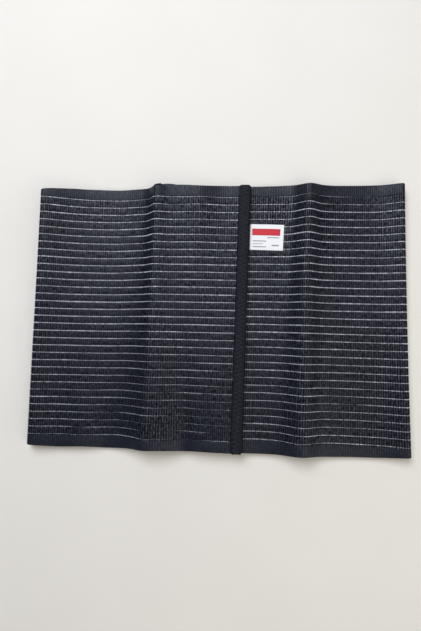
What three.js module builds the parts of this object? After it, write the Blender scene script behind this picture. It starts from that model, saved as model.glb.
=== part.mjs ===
// An abdominal binder lying on a table: one wide strip of openwork elastic web, wrapped once round and
// over itself, pressed flat. Both ends are bound with a folded tape, a hook tape fastens the outer end to
// the panel under it, and a label is sewn beside that end.
// Millimetres. X runs along the wrap, Y up the web's height, Z up from the table.
import * as THREE from 'three';

// The elastic web.
const WEB_HEIGHT = 260;
const WALL = 1.4;
const GAP_COUNT = 33;
const GAP_PITCH = 7.4;
const GAP_WIDTH = 1.8;
const BOTTOM_BORDER = 12.4; // from the bottom edge to the middle of the lowest gap
// The plain strip above the highest gap. Over this width the web's edges can pull in.
const BORDER = WEB_HEIGHT - BOTTOM_BORDER - (GAP_COUNT - 1) * GAP_PITCH - GAP_WIDTH / 2;

// The tape folded over each end of the web.
const BINDING_WIDTH = 11.2;
const BINDING_TAPE = 0.8;
const BINDING_OVERHANG = 1.2; // past the web's top and bottom edges
const BINDING_ROUNDING = 0.5;
const BINDING_SEGMENTS = 10;

// The hook tape under the outer end's binding.
const HOOK_THICKNESS = 1.2;
const HOOK_MARGIN = 8; // short of the web's top and bottom edges
const HOOK_SIDE_MARGIN = 0.06; // of the hem's width, left free at the end
const HOOK_SEGMENTS = 8;

// The label on the right-hand panel.
const LABEL_WIDTH = 33;
const LABEL_HEIGHT = 25.5;
const LABEL_THICKNESS = 0.5;
const LABEL_LEFT = 33.3;
const LABEL_MIDDLE_HEIGHT = 208.8; // up from the web's bottom edge
const LABEL_DROP = 0.8; // how much lower its right side sits
const LABEL_SEGMENTS = 3;

const CLEARANCE = 0.3; // between pieces that lie against each other

// The way that the web takes, from its outer end to its inner end. Each row is one place along it, at
// the middle of its thickness. x runs straight from the web's bottom edge to its top edge, z bends
// through three heights, shift moves the web up or down its own height there, and draw is how far its
// borders pull in. facets is the number of flat pieces from this place to the next.
const STATION_COLUMNS = [
  'name', 'facets', 'xTop', 'xBottom', 'zTop', 'zMiddle', 'zBottom',
  'shiftTop', 'shiftBottom', 'drawTop', 'drawBottom',
];
const STATION_ROWS = [
  ['outer_end', 1, 32.2, 30.0, 9.1, 8.3, 12.6, -0.5, -0.5, 0, 0.6],
  ['outer_hem', 1, 23.6, 21.4, 9.2, 8.5, 12.8, -0.6, -0.6, 0, 1.3],
  ['flap_level', 1, 4.0, 4.0, 9.6, 9.2, 13.6, -0.7, -0.7, 0, 1.7],
  ['flap_roll', 1, -18.0, -14.0, 14.4, 9.8, 12.2, -0.75, -0.75, 0.6, 1.6],
  ['flap_dip', 1, -35.0, -26.0, 13.2, 9.4, 8.8, -0.8, -0.8, -0.5, 0.5],
  ['crest_shoulder', 1, -48.5, -44.0, 14.0, 11.2, 16.0, -1.0, -1.0, 0, 1.5],
  ['crest', 1, -60.0, -64.5, 17.0, 13.4, 19.6, -1.15, -1.15, 0.8, 1.8],
  ['crest_flank', 1, -69.5, -78.5, 6.8, 6.8, 11.8, -1.4, -1.4, 0.3, 1.2],
  ['crest_foot', 1, -83.0, -92.5, 3.6, 3.2, 6.0, -1.6, -1.6, 0.3, 0.2],
  ['left_valley', 1, -100.0, -106.0, 3.2, 2.8, 4.2, -2.2, -2.2, 0.5, 0],
  ['left_swell', 1, -131.0, -130.0, 7.8, 5.6, 9.2, -2.65, -2.65, 0.3, 1.2],
  ['left_slope', 1, -149.0, -154.0, 13.6, 8.4, 8.2, -2.8, -2.8, 1.0, 0],
  ['left_fold_crease', 1, -173.6, -181.8, 22.2, 17.0, 12.4, -2.83, -2.83, 3.6, 1.2],
  ['left_fold_lip', 2, -175.2, -183.6, 20.4, 15.4, 10.8, -2.83, -2.83, 4.4, 1.2],
  ['left_fold_side', 2, -177.4, -186.1, 9.4, 9.0, 5.4, -2.83, -2.83, 3.0, 0],
  ['left_fold_foot', 1, -171.0, -179.6, 0.7, 0.7, 0.7, -2.83, -2.83, 0, 0],
  ['back_left', 1, -105.0, -108.0, 0.7, 0.7, 0.7, -2.2, -2.2, 0, 0],
  ['back_middle', 1, 5.0, 5.0, 0.7, 0.7, 0.7, -0.6, -0.6, 0, 0],
  ['back_label', 1, 42.0, 42.0, 0.7, 0.7, 0.7, 1.4, 1.4, 0, 0],
  ['back_right', 1, 110.0, 112.0, 0.7, 0.7, 0.7, 1.4, 1.4, 0, 0],
  ['right_fold_foot', 2, 174.2, 183.9, 0.7, 0.7, 0.7, 1.7, 1.7, 0, 1.5],
  ['right_fold_side', 1, 178.0, 187.5, 5.4, 4.4, 5.0, 1.72, 1.72, 0.5, 3.0],
  ['right_fold_lip', 1, 177.4, 186.9, 10.2, 7.4, 9.8, 1.72, 1.72, 0.7, 3.6],
  ['right_fold_crease', 1, 175.8, 185.3, 11.9, 9.4, 11.4, 1.7, 1.7, 0.7, 3.6],
  ['right_flat', 1, 157.0, 163.0, 4.3, 5.0, 5.9, 1.45, 1.45, 0, 1.6],
  ['right_valley', 1, 122.0, 123.0, 4.3, 3.8, 5.3, 1.4, 1.4, 0.3, 0.3],
  ['ridge_outer_foot', 1, 103.0, 106.0, 7.6, 5.8, 8.2, 1.4, 1.4, 0.5, 0],
  ['ridge', 2, 89.5, 86.5, 16.6, 14.8, 18.6, 1.55, 1.55, 1.6, 0.7],
  ['ridge_inner_foot', 1, 75.0, 65.0, 6.4, 4.6, 8.0, 1.6, 1.6, 0.6, -0.6],
  ['label_bed', 1, 49.0, 48.0, 4.4, 3.6, 5.6, 1.6, 1.6, 1.0, -1.1],
  ['under_binding', 1, 29.0, 28.0, 4.4, 3.6, 7.2, 1.5, 1.2, 1.0, -0.8],
  ['under_flap', 1, 0.0, 0.0, 4.2, 4.0, 6.0, 1.5, 0.8, 0, 0],
  ['under_dip', 1, -32.0, -30.0, 4.6, 4.2, 4.8, 1.6, 0.8, 0, 0],
  ['under_arch', 1, -49.0, -57.0, 11.0, 8.6, 12.2, 1.6, 0.9, 0, 0],
  ['inner_hem', 1, -54.5, -62.8, 10.1, 7.95, 11.35, 1.64, 0.9, 0, 0],
  ['inner_end', 0, -63.7, -72.0, 5.6, 4.4, 7.4, 1.64, 0.9, 0, 0],
];
const STATIONS = STATION_ROWS.map((row) =>
  Object.fromEntries(STATION_COLUMNS.map((column, i) => [column, row[i]])),
);

/** A finish: colour, roughness and no metal. */
function cloth(color, roughness) {
  return new THREE.MeshStandardMaterial({ color, roughness, metalness: 0 });
}

/**
 * Where a station lies at a fraction of the web's height, 0 at its bottom edge and 1 at its top edge.
 * Within a border the fraction moves inwards, most at the edge itself.
 */
function stationPoint(station, fraction) {
  const nearBottom = Math.max(0, 1 - (fraction * WEB_HEIGHT) / BORDER);
  const nearTop = Math.max(0, 1 - ((1 - fraction) * WEB_HEIGHT) / BORDER);
  const t = fraction + (station.drawBottom * nearBottom - station.drawTop * nearTop) / WEB_HEIGHT;
  const x = THREE.MathUtils.lerp(station.xBottom, station.xTop, t);
  const shift = THREE.MathUtils.lerp(station.shiftBottom, station.shiftTop, t);
  const bend = 2 * (station.zTop + station.zBottom - 2 * station.zMiddle);
  const z = THREE.MathUtils.lerp(station.zBottom, station.zTop, t) - bend * t * (1 - t);
  return new THREE.Vector3(x, (t - 0.5) * WEB_HEIGHT + shift, z);
}

/**
 * The web's middle line at one height: a smooth curve through the stations, cut into flat facets, with
 * the direction that faces out of the loop at each corner.
 */
function middleLine(t) {
  const curve = new THREE.CatmullRomCurve3(STATIONS.map((station) => stationPoint(station, t)));
  const lastRow = STATIONS.length - 1;
  const points = STATIONS.slice(0, lastRow).flatMap(({ facets }, row) =>
    Array.from({ length: facets }, (_, step) => curve.getPoint((row + step / facets) / lastRow)),
  );
  points.push(curve.getPoint(1));
  const normals = points.map((_, i) => {
    const before = points[Math.max(i - 1, 0)];
    const after = points[Math.min(i + 1, points.length - 1)];
    return new THREE.Vector3(after.z - before.z, 0, before.x - after.x).normalize();
  });
  return { points, normals };
}

/** A point of the web: `along` counts facets from the outer end, `offset` goes out of the loop. */
function onWeb(line, along, offset) {
  const i = Math.min(Math.floor(along), line.points.length - 2);
  const point = line.points[i].clone().lerp(line.points[i + 1], along - i);
  const normal = line.normals[i].clone().lerp(line.normals[i + 1], along - i);
  return point.addScaledVector(normal, offset);
}

/** The number of facets from the outer end to a named station. */
function facetsBefore(name) {
  const row = STATIONS.findIndex((station) => station.name === name);
  return STATIONS.slice(0, row).reduce((sum, station) => sum + station.facets, 0);
}

/** A geometry from points and the corners of its triangles. */
function meshGeometry(points, triangles) {
  const coordinates = points.flatMap((point) => point.toArray());
  const geometry = new THREE.BufferGeometry();
  geometry.setAttribute('position', new THREE.Float32BufferAttribute(coordinates, 3));
  geometry.setIndex(triangles.flat());
  geometry.computeVertexNormals();
  return geometry;
}

/** The two triangles of a four-cornered face. */
function quad(a, b, c, d) {
  return [[a, b, c], [a, c, d]];
}

/**
 * The elastic web: bands along the whole wrap, two corner lines each, joined to each other only by the
 * solid hem at each end, so that every gap is cut through.
 */
function webGeometry() {
  const gaps = Array.from({ length: GAP_COUNT }, (_, k) => BOTTOM_BORDER + k * GAP_PITCH);
  const edges = gaps.flatMap((middle) => [middle - GAP_WIDTH / 2, middle + GAP_WIDTH / 2]);
  const heights = [0, ...edges, WEB_HEIGHT];
  const lines = heights.map((height) => middleLine(height / WEB_HEIGHT));
  const last = lines[0].points.length - 1;
  const points = lines.flatMap((line) =>
    line.points.flatMap((_, i) => [onWeb(line, i, WALL / 2), onWeb(line, i, -WALL / 2)]),
  );
  const outer = (i, j) => (j * (last + 1) + i) * 2;
  const inner = (i, j) => outer(i, j) + 1;
  const across = (i, j) => quad(outer(i, j), inner(i, j), inner(i, j + 1), outer(i, j + 1));
  const triangles = [];
  for (let j = 0; j < heights.length - 1; j += 1) {
    const isBand = j % 2 === 0;
    for (let i = 0; i < last; i += 1) {
      const isHem = i === 0 || i === last - 1;
      if (!isBand && !isHem) continue;
      triangles.push(...quad(outer(i, j), outer(i, j + 1), outer(i + 1, j + 1), outer(i + 1, j)));
      triangles.push(...quad(inner(i, j), inner(i + 1, j), inner(i + 1, j + 1), inner(i, j + 1)));
      if (j === 0 || (isBand && !isHem)) {
        triangles.push(...quad(outer(i, j), outer(i + 1, j), inner(i + 1, j), inner(i, j)));
      }
      if (j === heights.length - 2 || (isBand && !isHem)) {
        const above = j + 1;
        triangles.push(...quad(outer(i, above), inner(i, above), inner(i + 1, above), outer(i + 1, above)));
      }
    }
    const startsHere = isBand ? [0] : [0, last - 1];
    const endsHere = isBand ? [last] : [1, last];
    for (const i of startsHere) triangles.push(...across(i, j));
    for (const i of endsHere) triangles.push(...across(i, j).map((corners) => corners.toReversed()));
  }
  return meshGeometry(points, triangles);
}

/** A closed solid through rings of the same flat outline, one ring for each place along it. */
function sweptGeometry(outline, rings) {
  const count = outline.length;
  const cap = THREE.ShapeUtils.triangulateShape(outline, []);
  const lastRing = (rings.length - 1) * count;
  const triangles = cap.map(([a, b, c]) => [c, b, a]);
  triangles.push(...cap.map((corners) => corners.map((corner) => corner + lastRing)));
  for (let ring = 0; ring < rings.length - 1; ring += 1) {
    for (let k = 0; k < count; k += 1) {
      const here = ring * count + k;
      const next = ring * count + ((k + 1) % count);
      triangles.push(...quad(here, next, next + count, here + count));
    }
  }
  return meshGeometry(rings.flat(), triangles);
}

/**
 * The tape folded over one end of the web. Its section is a U in two directions: `reach` from the web's
 * end back along the hem, and `rise` out of the loop.
 */
function bindingGeometry(endFacet, hemFacet) {
  const slot = WALL / 2 + CLEARANCE;
  const half = slot + BINDING_TAPE;
  const nose = -CLEARANCE - BINDING_TAPE;
  const lip = nose + BINDING_WIDTH;
  const outline = [
    [lip, half], [nose + BINDING_ROUNDING, half], [nose, half - BINDING_ROUNDING],
    [nose, BINDING_ROUNDING - half], [nose + BINDING_ROUNDING, -half], [lip, -half],
    [lip, -slot], [-CLEARANCE, -slot], [-CLEARANCE, slot], [lip, slot],
  ].map(([reach, rise]) => new THREE.Vector2(reach, rise));
  const start = -BINDING_OVERHANG / WEB_HEIGHT;
  const span = 1 - 2 * start;
  const rings = Array.from({ length: BINDING_SEGMENTS + 1 }, (_, k) => {
    const { points } = middleLine(start + (span * k) / BINDING_SEGMENTS);
    const back = points[hemFacet].clone().sub(points[endFacet]).setY(0).normalize();
    const turn = hemFacet > endFacet ? 1 : -1;
    const out = new THREE.Vector3(back.z, 0, -back.x).multiplyScalar(turn);
    return outline.map(({ x: reach, y: rise }) =>
      points[endFacet].clone().addScaledVector(back, reach).addScaledVector(out, rise),
    );
  });
  return sweptGeometry(outline, hemFacet > endFacet ? rings : rings.toReversed());
}

/** A thin plate that follows the web: rings up its height, corners along it, between two offsets. */
function plateGeometry(heights, alongAt, near, far) {
  const rings = heights.map((height) => {
    const { line, along, drop } = alongAt(height);
    const level = line.points[0].y;
    const side = (offset) => along.map((place, k) => onWeb(line, place, offset).setY(level - drop[k]));
    return [...side(near), ...side(far).toReversed()];
  });
  const corners = rings[0].length / 2;
  const outline = [
    ...Array.from({ length: corners }, (_, k) => new THREE.Vector2(k, near)),
    ...Array.from({ length: corners }, (_, k) => new THREE.Vector2(corners - 1 - k, far)),
  ];
  return sweptGeometry(outline, rings);
}

/** Evenly spaced heights from one to another. */
function spread(from, to, segments) {
  return Array.from({ length: segments + 1 }, (_, k) => THREE.MathUtils.lerp(from, to, k / segments));
}

/** The hook tape, against the inner leg of the outer end's binding. */
function hookTapeGeometry() {
  const far = -(WALL / 2 + CLEARANCE + BINDING_TAPE + CLEARANCE);
  const heights = spread(HOOK_MARGIN, WEB_HEIGHT - HOOK_MARGIN, HOOK_SEGMENTS);
  const along = [HOOK_SIDE_MARGIN, 1];
  const alongAt = (height) => ({ line: middleLine(height / WEB_HEIGHT), along, drop: [0, 0] });
  return plateGeometry(heights, alongAt, far - HOOK_THICKNESS, far);
}

/** Where the right-hand panel reaches a place in X, in facets from the outer end. */
function panelAlong(line, x) {
  const from = facetsBefore('ridge_inner_foot') - 1;
  const to = facetsBefore('under_binding');
  for (let i = from; i < to; i += 1) {
    const [a, b] = [line.points[i].x, line.points[i + 1].x];
    if (x <= a && x >= b) return i + (a - x) / (a - b);
  }
  throw new Error('the label reaches past its panel');
}

/** The label, lying on the outside of the right-hand panel with a corner wherever the panel has one. */
function labelGeometry() {
  const near = WALL / 2 + CLEARANCE;
  const bottom = LABEL_MIDDLE_HEIGHT - LABEL_HEIGHT / 2;
  const alongAt = (height) => {
    const line = middleLine(height / WEB_HEIGHT);
    const start = panelAlong(line, LABEL_LEFT + LABEL_WIDTH);
    const end = panelAlong(line, LABEL_LEFT);
    const along = [start];
    for (let corner = Math.floor(start) + 1; corner < end; corner += 1) along.push(corner);
    along.push(end);
    const drop = along.map((place) => LABEL_DROP * ((end - place) / (end - start) - 0.5));
    return { line, along, drop };
  };
  const heights = spread(bottom, bottom + LABEL_HEIGHT, LABEL_SEGMENTS);
  return plateGeometry(heights, alongAt, near, near + LABEL_THICKNESS);
}

const elastic = cloth(0x2d2c33, 0.85);
const tape = cloth(0x24242c, 0.8);
const hooks = cloth(0x1c1c20, 0.9);
const satin = cloth(0xeeeeea, 0.6);

const lastFacet = facetsBefore('inner_end');
const pieces = [
  ['elastic_web', webGeometry(), elastic],
  ['outer_end_binding', bindingGeometry(0, 1), tape],
  ['inner_end_binding', bindingGeometry(lastFacet, lastFacet - 1), tape],
  ['hook_tape', hookTapeGeometry(), hooks],
  ['label', labelGeometry(), satin],
];

const group = new THREE.Group();
for (const [name, geometry, material] of pieces) {
  const mesh = new THREE.Mesh(geometry, material);
  mesh.name = name;
  group.add(mesh);
}

export default group;
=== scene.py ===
"""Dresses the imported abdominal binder: a ribbed openwork web, bound ends, hook tape, label, table and light.

Sizes are millimetres until a mesh is made. X runs along the wrap, Y up the web's height, Z up from the table.
"""

import logging
from dataclasses import dataclass
from enum import Enum
from typing import Any

import bpy
import numpy as np
from mathutils import Matrix


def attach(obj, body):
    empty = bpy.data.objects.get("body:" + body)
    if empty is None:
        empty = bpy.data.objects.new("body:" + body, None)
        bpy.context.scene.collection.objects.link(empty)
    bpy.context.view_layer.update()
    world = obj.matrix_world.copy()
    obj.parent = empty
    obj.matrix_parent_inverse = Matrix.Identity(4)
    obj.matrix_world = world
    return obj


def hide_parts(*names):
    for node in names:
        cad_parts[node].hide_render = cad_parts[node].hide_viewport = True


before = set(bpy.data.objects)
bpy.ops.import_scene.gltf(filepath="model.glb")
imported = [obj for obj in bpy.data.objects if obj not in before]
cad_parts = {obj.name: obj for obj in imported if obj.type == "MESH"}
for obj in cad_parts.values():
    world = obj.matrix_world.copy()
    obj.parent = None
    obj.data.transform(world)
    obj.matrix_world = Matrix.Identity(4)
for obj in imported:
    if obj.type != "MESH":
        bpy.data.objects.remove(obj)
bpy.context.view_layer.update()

LOG = logging.getLogger("binder")
MM = 0.001
BODY = "root"
CLOTH_UV = "cloth"

# Sockets of the colour form of a Mix node, which share their names with its other forms.
MIX_FACTOR, MIX_FIRST, MIX_SECOND, MIX_RESULT = 0, 6, 7, 2
# The same of its number form.
BLEND_FACTOR, BLEND_FIRST, BLEND_SECOND, BLEND_RESULT = 0, 2, 3, 0
# Settings of a Wave texture in straight bands, by the direction that they repeat in.
BANDS_ALONG_X = {"wave_type": "BANDS", "bands_direction": "X", "wave_profile": "SIN"}
BANDS_ALONG_Y = {**BANDS_ALONG_X, "bands_direction": "Y"}
# Its sine runs at this many times its scale.
WAVE_RATE = 20
# The faces that close one end of a ring of eight points.
RING_END = ((7, 0, 1, 2), (7, 2, 3, 6), (6, 3, 4, 5))


def linear(hex_colour: str) -> tuple[float, ...]:
    """Turns an sRGB hex colour into the linear colour that a shader socket takes.

    Args:
        hex_colour: a hash sign and six hex digits.

    Returns:
        Linear red, green and blue, and an alpha of 1.
    """
    srgb = np.array([int(hex_colour[i:i + 2], 16) for i in (1, 3, 5)]) / 255
    light = np.where(srgb <= 0.04045, srgb / 12.92, ((srgb + 0.055) / 1.055) ** 2.4)
    return (*light.tolist(), 1.0)


def add_node(tree: bpy.types.NodeTree, kind: str, settings: dict[str, Any] | None = None,
             inputs: dict[str | int, Any] | None = None) -> bpy.types.Node:
    """Adds a node with its settings and links.

    Args:
        tree: the tree that gets the node.
        kind: the node's type without its ShaderNode prefix.
        settings: property values by name.
        inputs: by socket name or number, a value to set or an output socket to link from.

    Returns:
        The new node.
    """
    node = tree.nodes.new("ShaderNode" + kind)
    for name, value in (settings or {}).items():
        setattr(node, name, value)
    for name, value in (inputs or {}).items():
        if isinstance(value, bpy.types.NodeSocket):
            tree.links.new(value, node.inputs[name])
        else:
            node.inputs[name].default_value = value
    return node


def new_material(name: str) -> tuple[bpy.types.Material, bpy.types.NodeTree]:
    """Makes an empty node material.

    Args:
        name: the real material and how its surface was made.

    Returns:
        The material and its node tree.
    """
    material = bpy.data.materials.new(name)
    material.use_nodes = True
    material.node_tree.nodes.clear()
    return material, material.node_tree


def wave_scale(period: float) -> float:
    """Gives the Wave texture scale that repeats every `period` millimetres: a full turn over its rate."""
    return 2 * np.pi / (WAVE_RATE * period * MM)


def end_material(tree: bpy.types.NodeTree, share: bpy.types.NodeSocket, tones: tuple[str, str],
                 finish: dict[str, Any], relief: dict[str, Any] | None = None) -> None:
    """Ends a material's nodes: a share mixes two tones, a relief bumps them, and a shader shows both.

    Args:
        tree: the material's node tree.
        share: the output that is 0 where the first tone shows and 1 where the second does.
        tones: the two colours, in sRGB hex.
        finish: the shader's other inputs by name.
        relief: the bump's inputs by name, on a surface that is not smooth.
    """
    colour = add_node(tree, "Mix", {"data_type": "RGBA"},
                      {MIX_FACTOR: share, MIX_FIRST: linear(tones[0]), MIX_SECOND: linear(tones[1])})
    surface = {"Base Color": colour.outputs[MIX_RESULT], **finish}
    if relief:
        surface["Normal"] = add_node(tree, "Bump", None, relief).outputs["Normal"]
    shader = add_node(tree, "BsdfPrincipled", None, surface)
    add_node(tree, "OutputMaterial", None, {"Surface": shader.outputs["BSDF"]})


def quads(index: np.ndarray) -> np.ndarray:
    """Makes the four-cornered faces of a grid of point numbers.

    Args:
        index: point numbers in rows and columns.

    Returns:
        One row of four point numbers for each cell, turning from the rows' direction to the columns'.
    """
    corners = (index[:-1, :-1], index[1:, :-1], index[1:, 1:], index[:-1, 1:])
    return np.stack(corners, -1).reshape(-1, 4)


def slab_faces(rows: int, columns: int) -> tuple[np.ndarray, np.ndarray]:
    """Closes two grids, an upper one and the lower one numbered after it, into a slab.

    The lower grid's faces are the upper ones turned over, and a strip of faces goes round the border.

    Args:
        rows: points in the grid's first direction.
        columns: points in its second direction.

    Returns:
        The faces, and for each whether it is on the border strip.
    """
    count = rows * columns
    index = np.arange(count).reshape(rows, columns)
    upper = quads(index)
    border = np.concatenate([index[:-1, 0], index[-1, :-1], index[:0:-1, -1], index[0, :0:-1]])
    following = np.roll(border, -1)
    strip = np.stack([following, border, border + count, following + count], -1)
    faces = np.concatenate([upper, upper[:, ::-1] + count, strip])
    return faces, np.arange(len(faces)) >= 2 * len(upper)


def repeat_faces(faces: np.ndarray, copies: int, points_each: int) -> np.ndarray:
    """Numbers the same faces for many copies of a shape that lie one after another in the point list."""
    return (faces[None] + points_each * np.arange(copies)[:, None, None]).reshape(-1, 4)


def tubes(paths: np.ndarray, out: np.ndarray, radius: float, sides: int) -> tuple[np.ndarray, np.ndarray]:
    """Carries a round section along paths.

    At each point a ring lies across the path's direction: centre + radius * (cos a * n + sin a * b). There n
    is `out` without its share along the path, and b is square to both. A cap of quads closes each end.

    Args:
        paths: points of shape (tubes, steps, 3).
        out: a direction that is never along the path, of the same shape or one that spreads to it.
        radius: the section's radius.
        sides: 4 or 6.

    Returns:
        The points and the faces.
    """
    along = np.gradient(paths, axis=1)
    along /= np.linalg.norm(along, axis=-1, keepdims=True)
    first = out - (out * along).sum(-1, keepdims=True) * along
    first /= np.linalg.norm(first, axis=-1, keepdims=True)
    second = np.cross(along, first)
    angle = np.linspace(0, 2 * np.pi, sides, endpoint=False)[:, None]
    rings = paths[:, :, None] + radius * (
        np.cos(angle) * first[:, :, None] + np.sin(angle) * second[:, :, None])
    steps = paths.shape[1]
    index = np.arange(steps * sides).reshape(steps, sides)
    walls = quads(np.concatenate([index, index[:, :1]], 1))
    cap = np.array([[0, 1, 2, 3], [0, 3, 4, 5]][:sides // 2 - 1])
    faces = np.concatenate([walls, cap, cap[:, ::-1] + (steps - 1) * sides])
    return rings.reshape(-1, 3), repeat_faces(faces, len(paths), steps * sides)


def outward(points: np.ndarray, faces: np.ndarray) -> np.ndarray:
    """Turns all faces over if the volume that they close comes out negative.

    The volume is the sum over each face's two triangles of a . (b x c) / 6.

    Args:
        points: the mesh's points.
        faces: its four-cornered faces, which all turn the same way.

    Returns:
        The faces, pointing out.
    """
    a, b, c, d = (points[faces[:, k]] for k in range(4))
    volume = (a * (np.cross(b, c) + np.cross(c, d))).sum()
    return faces if volume > 0 else faces[:, ::-1]


def make_piece(name: str, points: np.ndarray, faces: np.ndarray, material: bpy.types.Material,
               uv: np.ndarray | None = None, sharp: np.ndarray | None = None) -> bpy.types.Object:
    """Puts points and faces into a new object at the origin.

    Args:
        name: the piece's name.
        points: points in millimetres.
        faces: four point numbers for each face.
        material: its finish.
        uv: for each point, where it lies on the flat cloth, in millimetres.
        sharp: for each face, whether it keeps hard edges.

    Returns:
        The object.
    """
    faces = outward(points, faces)
    mesh = bpy.data.meshes.new(name)
    mesh.vertices.add(len(points))
    mesh.vertices.foreach_set("co", (points * MM).astype(np.float32).ravel())
    mesh.loops.add(faces.size)
    mesh.loops.foreach_set("vertex_index", faces.astype(np.int32).ravel())
    mesh.polygons.add(len(faces))
    mesh.polygons.foreach_set("loop_start", np.arange(0, faces.size, 4, dtype=np.int32))
    smooth = np.ones(len(faces), bool) if sharp is None else ~sharp
    mesh.polygons.foreach_set("use_smooth", smooth)
    if uv is not None:
        layer = mesh.uv_layers.new(name=CLOTH_UV)
        layer.data.foreach_set("uv", (uv * MM)[faces.ravel()].astype(np.float32).ravel())
    mesh.update(calc_edges=True)
    mesh.materials.append(material)
    piece = bpy.data.objects.new(name, mesh)
    bpy.context.scene.collection.objects.link(piece)
    return piece


def seat(piece: bpy.types.Object, slot: str, *nodes: str) -> bpy.types.Object:
    """Makes a piece ride on the binder and stand for CAD nodes, and reports it.

    Args:
        piece: the new piece.
        slot: the record's material slot; not used.
        nodes: the CAD nodes that it stands for.

    Returns:
        The same piece.
    """
    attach(piece, BODY)
    if nodes:
        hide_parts(*nodes)
    LOG.info("%s: %d triangles", piece.name, 2 * len(piece.data.polygons))
    return piece


@dataclass(frozen=True)
class Station:
    """One place along the wrap, at the middle of the web's thickness.

    x runs straight from the web's bottom edge to its top edge, and z bends through three heights. shift moves
    the web up or down its own height there, and draw is how far its plain borders pull in.
    """

    name: str
    x_top: float
    x_bottom: float
    z_top: float
    z_middle: float
    z_bottom: float
    shift_top: float
    shift_bottom: float
    draw_top: float
    draw_bottom: float


STATIONS = (
    Station("outer_end", 32.2, 30.0, 9.1, 8.3, 12.6, -0.5, -0.5, 0.0, 0.6),
    Station("outer_hem", 23.6, 21.4, 9.2, 8.5, 12.8, -0.6, -0.6, 0.0, 1.3),
    Station("flap_level", 4.0, 4.0, 9.6, 9.2, 13.6, -0.7, -0.7, 0.0, 1.7),
    Station("flap_roll", -18.0, -14.0, 14.4, 9.8, 12.2, -0.75, -0.75, 0.6, 1.6),
    Station("flap_dip", -35.0, -26.0, 13.2, 9.4, 8.8, -0.8, -0.8, -0.5, 0.5),
    Station("crest_shoulder", -48.5, -44.0, 14.0, 11.2, 16.0, -1.0, -1.0, 0.0, 1.5),
    Station("crest", -60.0, -64.5, 17.0, 13.4, 19.6, -1.15, -1.15, 0.8, 1.8),
    Station("crest_flank", -69.5, -78.5, 6.8, 6.8, 11.8, -1.4, -1.4, 0.3, 1.2),
    Station("crest_foot", -83.0, -92.5, 3.6, 3.2, 6.0, -1.6, -1.6, 0.3, 0.2),
    Station("left_valley", -100.0, -106.0, 3.2, 2.8, 4.2, -2.2, -2.2, 0.5, 0.0),
    Station("left_swell", -131.0, -130.0, 7.8, 5.6, 9.2, -2.65, -2.65, 0.3, 1.2),
    Station("left_slope", -149.0, -154.0, 13.6, 8.4, 8.2, -2.8, -2.8, 1.0, 0.0),
    Station("left_fold_crease", -173.6, -181.8, 22.2, 17.0, 12.4, -2.83, -2.83, 3.6, 1.2),
    Station("left_fold_lip", -175.2, -183.6, 20.4, 15.4, 10.8, -2.83, -2.83, 4.4, 1.2),
    Station("left_fold_side", -177.4, -186.1, 9.4, 9.0, 5.4, -2.83, -2.83, 3.0, 0.0),
    Station("left_fold_foot", -171.0, -179.6, 0.7, 0.7, 0.7, -2.83, -2.83, 0.0, 0.0),
    Station("back_left", -105.0, -108.0, 0.7, 0.7, 0.7, -2.2, -2.2, 0.0, 0.0),
    Station("back_middle", 5.0, 5.0, 0.7, 0.7, 0.7, -0.6, -0.6, 0.0, 0.0),
    Station("back_label", 42.0, 42.0, 0.7, 0.7, 0.7, 1.4, 1.4, 0.0, 0.0),
    Station("back_right", 110.0, 112.0, 0.7, 0.7, 0.7, 1.4, 1.4, 0.0, 0.0),
    Station("right_fold_foot", 174.2, 183.9, 0.7, 0.7, 0.7, 1.7, 1.7, 0.0, 1.5),
    Station("right_fold_side", 178.0, 187.5, 5.4, 4.4, 5.0, 1.72, 1.72, 0.5, 3.0),
    Station("right_fold_lip", 177.4, 186.9, 10.2, 7.4, 9.8, 1.72, 1.72, 0.7, 3.6),
    Station("right_fold_crease", 175.8, 185.3, 11.9, 9.4, 11.4, 1.7, 1.7, 0.7, 3.6),
    Station("right_flat", 157.0, 163.0, 4.3, 5.0, 5.9, 1.45, 1.45, 0.0, 1.6),
    Station("right_valley", 122.0, 123.0, 4.3, 3.8, 5.3, 1.4, 1.4, 0.3, 0.3),
    Station("ridge_outer_foot", 103.0, 106.0, 7.6, 5.8, 8.2, 1.4, 1.4, 0.5, 0.0),
    Station("ridge", 89.5, 86.5, 16.6, 14.8, 18.6, 1.55, 1.55, 1.6, 0.7),
    Station("ridge_inner_foot", 75.0, 65.0, 6.4, 4.6, 8.0, 1.6, 1.6, 0.6, -0.6),
    Station("label_bed", 49.0, 48.0, 4.4, 3.6, 5.6, 1.6, 1.6, 1.0, -1.1),
    Station("under_binding", 29.0, 28.0, 4.4, 3.6, 7.2, 1.5, 1.2, 1.0, -0.8),
    Station("under_flap", 0.0, 0.0, 4.2, 4.0, 6.0, 1.5, 0.8, 0.0, 0.0),
    Station("under_dip", -32.0, -30.0, 4.6, 4.2, 4.8, 1.6, 0.8, 0.0, 0.0),
    Station("under_arch", -49.0, -57.0, 11.0, 8.6, 12.2, 1.6, 0.9, 0.0, 0.0),
    Station("inner_hem", -54.5, -62.8, 10.1, 7.95, 11.35, 1.64, 0.9, 0.0, 0.0),
    Station("inner_end", -63.7, -72.0, 5.6, 4.4, 7.4, 1.64, 0.9, 0.0, 0.0),
)


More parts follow.
